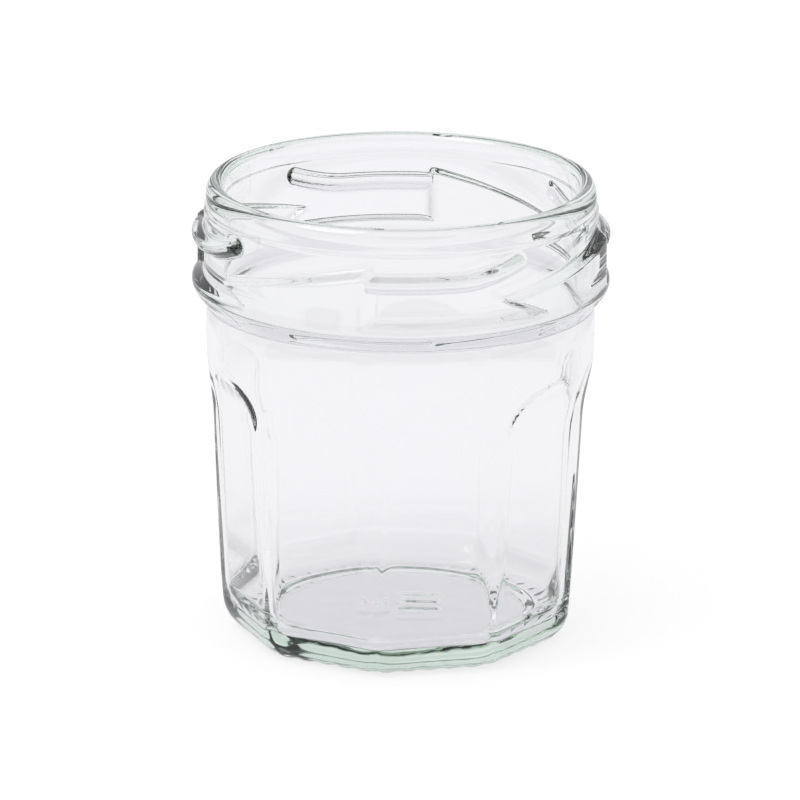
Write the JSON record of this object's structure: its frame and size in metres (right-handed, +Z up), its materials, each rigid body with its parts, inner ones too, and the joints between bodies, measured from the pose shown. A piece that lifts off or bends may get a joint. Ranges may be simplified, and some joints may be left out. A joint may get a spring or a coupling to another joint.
{
  "type": "glass jar",
  "caption": "Empty clear glass preserve jar with a rounded lip, twist-off lugs, a collar and a faceted tapering body.",
  "frame": {"origin": "centre of the ring that the jar stands on", "axes": "+Z up along the jar's axis, through the mouth; -Y is the side that faces the viewer"},
  "size_m": [0.084, 0.084, 0.094],
  "materials": {
    "glass": "clear polished"
  },
  "bodies": {
    "root": {"jar": "glass"}
  },
  "joints": []
}
